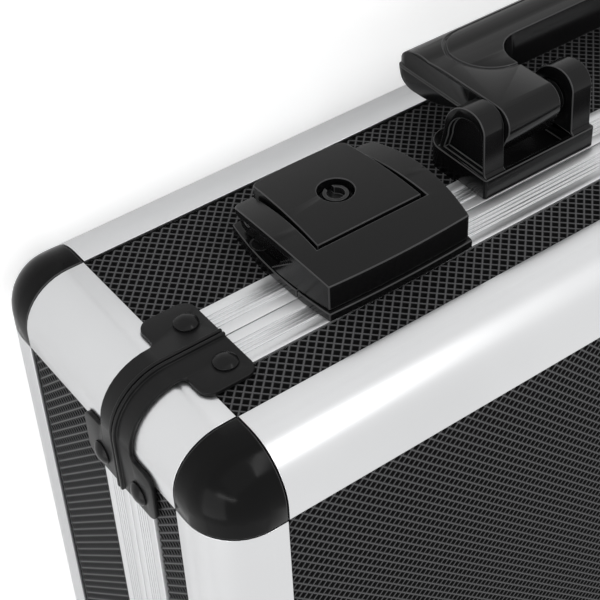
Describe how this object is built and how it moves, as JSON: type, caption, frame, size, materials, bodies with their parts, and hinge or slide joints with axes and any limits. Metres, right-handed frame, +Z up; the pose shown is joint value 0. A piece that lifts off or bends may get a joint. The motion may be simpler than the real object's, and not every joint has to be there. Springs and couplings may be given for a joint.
{
  "type": "mixer case",
  "caption": "Hard aluminium-framed case with a rear-hinged lid, front latches with key locks, a folding handle and foam lining.",
  "frame": {"origin": "centre of the bounding box's bottom, where the base feet stand on the floor", "axes": "+X along the case's length, -Y towards the front with the latches and handle, +Z up through the lid"},
  "size_m": [0.467, 0.3982, 0.1369],
  "materials": {
    "aluminium_profile": "satin extrusion",
    "textured_panel": "black embossed waffle",
    "corner_plastic": "gloss black",
    "bracket_metal": "satin black",
    "foam": "open-cell foam",
    "rubber_foot": "matte",
    "black_rivet": "satin black",
    "hinge_metal": "satin black",
    "steel_fastener": "zinc plated",
    "lock_metal": "dark satin",
    "handle_plastic": "gloss black",
    "latch_plastic": "gloss black"
  },
  "bodies": {
    "base": {"base_ball_corners": "corner_plastic", "base_corner_brackets": "bracket_metal", "base_corner_posts": "aluminium_profile", "base_end_panels": "textured_panel", "base_feet": "rubber_foot", "base_flat_panel": "textured_panel", "base_floor_foam": "foam", "base_foot_screws": "steel_fastener", "base_front_panel": "textured_panel", "base_long_closures": "aluminium_profile", "base_long_edges": "aluminium_profile", "base_rear_feet": "rubber_foot", "base_rear_panel": "textured_panel", "base_rivets": "black_rivet", "base_short_closures": "aluminium_profile", "base_short_edges": "aluminium_profile", "base_wall_foam": "foam", "left_bracket_screws": "steel_fastener", "left_handle_bracket": "latch_plastic", "left_handle_pin": "steel_fastener", "left_hinge_base_leaf": "hinge_metal", "left_hinge_pin": "hinge_metal", "left_latch_body": "latch_plastic", "left_latch_pin": "steel_fastener", "right_bracket_screws": "steel_fastener", "right_handle_bracket": "latch_plastic", "right_handle_pin": "steel_fastener", "right_hinge_base_leaf": "hinge_metal", "right_hinge_pin": "hinge_metal", "right_latch_body": "latch_plastic", "right_latch_pin": "steel_fastener"},
    "lid": {"left_hinge_lid_leaf": "hinge_metal", "left_latch_catch": "latch_plastic", "lid_ball_corners": "corner_plastic", "lid_corner_brackets": "bracket_metal", "lid_corner_posts": "aluminium_profile", "lid_end_panels": "textured_panel", "lid_flat_panel": "textured_panel", "lid_foam": "foam", "lid_foot_screws": "steel_fastener", "lid_front_panel": "textured_panel", "lid_long_closures": "aluminium_profile", "lid_long_edges": "aluminium_profile", "lid_rear_feet": "rubber_foot", "lid_rear_panel": "textured_panel", "lid_rivets": "black_rivet", "lid_short_closures": "aluminium_profile", "lid_short_edges": "aluminium_profile", "right_hinge_lid_leaf": "hinge_metal", "right_latch_catch": "latch_plastic"},
    "left_lever": {"left_latch_lever": "latch_plastic"},
    "right_lever": {"right_latch_lever": "latch_plastic"},
    "left_lock": {"left_lock_barrel": "lock_metal", "left_lock_cam": "steel_fastener"},
    "right_lock": {"right_lock_barrel": "lock_metal", "right_lock_cam": "steel_fastener"},
    "handle": {"handle": "handle_plastic"}
  },
  "joints": [
    {"name": "lid_hinge", "type": "hinge", "parent": "base", "child": "lid", "pos_m": [0, 0.19335, 0.08425], "axis": [-1, 0, 0], "range_deg": [0, 100]},
    {"name": "left_latch_swing", "type": "hinge", "parent": "base", "child": "left_lever", "pos_m": [-0.1354, -0.17815, 0.053], "axis": [1, 0, 0], "range_deg": [0, 85]},
    {"name": "left_lock_turn", "type": "hinge", "parent": "base", "child": "left_lock", "pos_m": [-0.1354, -0.17785, 0.0656], "axis": [0, -1, 0], "range_deg": [0, 90]},
    {"name": "right_latch_swing", "type": "hinge", "parent": "base", "child": "right_lever", "pos_m": [0.1354, -0.17815, 0.053], "axis": [1, 0, 0], "range_deg": [0, 85]},
    {"name": "right_lock_turn", "type": "hinge", "parent": "base", "child": "right_lock", "pos_m": [0.1354, -0.17785, 0.0656], "axis": [0, -1, 0], "range_deg": [0, 90]},
    {"name": "handle_swing", "type": "hinge", "parent": "base", "child": "handle", "pos_m": [0, -0.18785, 0.072], "axis": [-1, 0, 0], "range_deg": [0, 95]}
  ]
}
